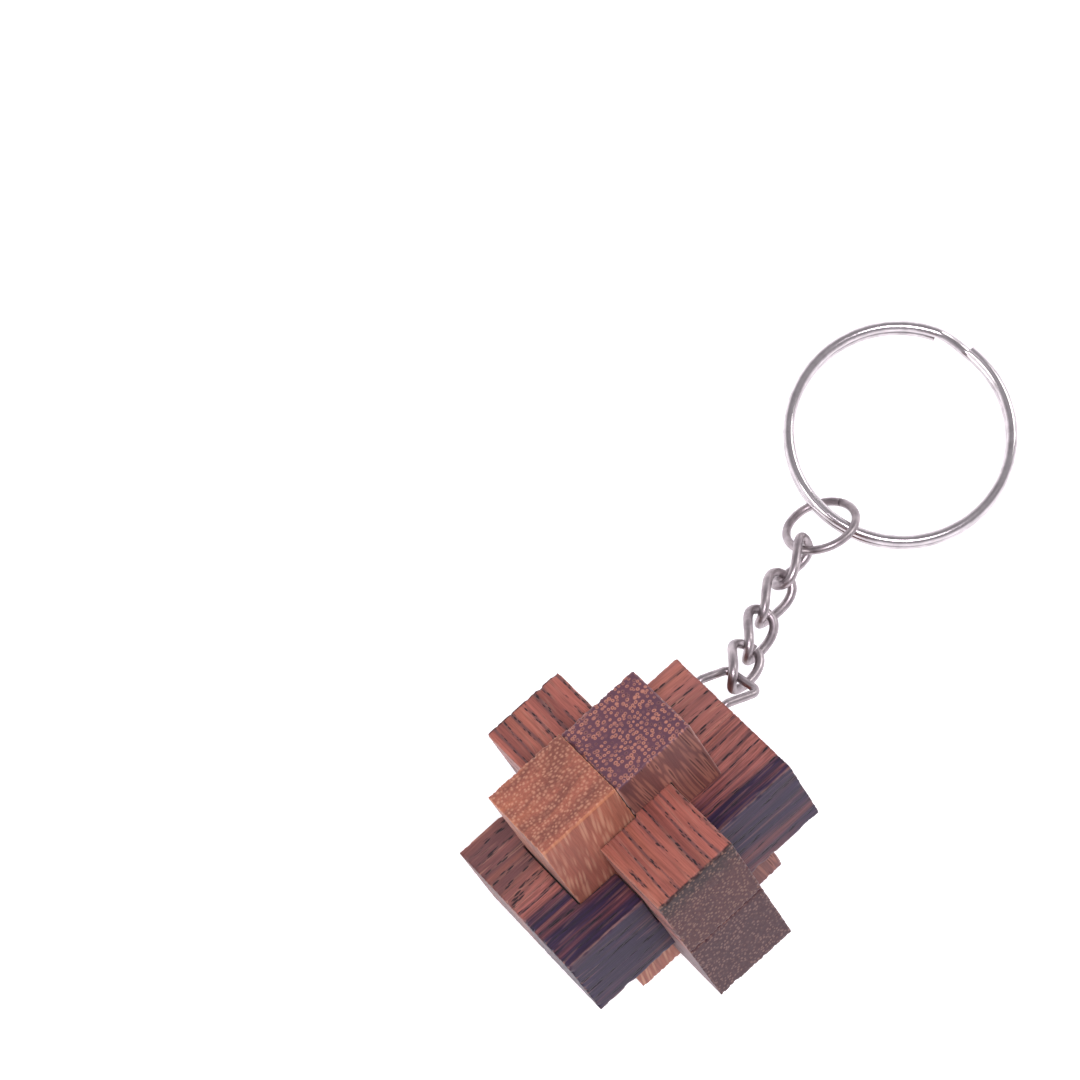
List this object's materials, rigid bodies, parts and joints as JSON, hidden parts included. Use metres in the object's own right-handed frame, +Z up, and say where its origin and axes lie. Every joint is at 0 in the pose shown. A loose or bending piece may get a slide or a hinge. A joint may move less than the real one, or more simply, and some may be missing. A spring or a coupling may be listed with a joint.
{
  "type": "burr puzzle key chain",
  "caption": "Interlocking wooden burr puzzle of square sticks with a sliding key stick, on a wire staple, a short twisted-link chain, a jump ring and a split key ring.",
  "frame": {"origin": "middle of the box round the puzzle, chain and ring as they lie, on the table", "axes": "+X from the burr towards the split ring, +Z up from the table"},
  "size_m": [0.0824, 0.0364, 0.0312],
  "materials": {
    "orange_wood": "oiled orange-brown hardwood",
    "purple_wood": "oiled purple-brown hardwood",
    "striped_wood": "oiled rosewood, half red and half blue-black",
    "red_wood": "oiled red-brown hardwood with coarse pores",
    "russet_wood": "oiled red-brown hardwood",
    "brown_wood": "oiled dark brown hardwood",
    "nickel_steel": "satin nickel-plated steel wire"
  },
  "bodies": {
    "burr": {"upright_stick": "purple_wood", "front_stick": "striped_wood", "shackle_stick": "red_wood", "upper_stick": "russet_wood", "lower_stick": "brown_wood", "staple": "nickel_steel"},
    "key": {"key_stick": "orange_wood"},
    "first_link": {"link_1": "nickel_steel"},
    "second_link": {"link_2": "nickel_steel"},
    "third_link": {"link_3": "nickel_steel"},
    "last_link": {"link_4": "nickel_steel"},
    "small_ring": {"jump_ring": "nickel_steel"},
    "key_ring": {"split_ring": "nickel_steel"}
  },
  "joints": [
    {"name": "key_slide", "type": "slide", "parent": "burr", "child": "key", "axis": [0.1336, 0.4482, 0.8839], "range_m": [0, 0.03]},
    {"name": "link_1_swing", "type": "hinge", "parent": "burr", "child": "first_link", "pos_m": [-0.00451, 0.00011, 0.01315], "axis": [-0.11, -0.9141, 0.3904], "range_deg": [-20, 40]},
    {"name": "link_2_swing", "type": "hinge", "parent": "first_link", "child": "second_link", "pos_m": [-0.00064, 0.00058, 0.00985], "axis": [-0.0427, 0.9948, 0.0929], "range_deg": [-25, 30]},
    {"name": "link_3_swing", "type": "hinge", "parent": "second_link", "child": "third_link", "pos_m": [0.00375, 0.00142, 0.0075], "axis": [-0.0543, 0.9683, 0.244], "range_deg": [-25, 30]},
    {"name": "link_4_swing", "type": "hinge", "parent": "third_link", "child": "last_link", "pos_m": [0.00846, 0.00173, 0.00572], "axis": [0.0662, 0.9398, 0.3352], "range_deg": [-30, 30]},
    {"name": "jump_ring_swing", "type": "hinge", "parent": "last_link", "child": "small_ring", "pos_m": [0.01318, 0.0019, 0.00392], "axis": [0.2656, 0.5979, 0.7563], "range_deg": [-30, 30]},
    {"name": "split_ring_swing", "type": "hinge", "parent": "small_ring", "child": "key_ring", "pos_m": [0.01699, 0.00134, 0.00252], "axis": [0.1547, 0.988, 0], "range_deg": [-10, 60]}
  ]
}
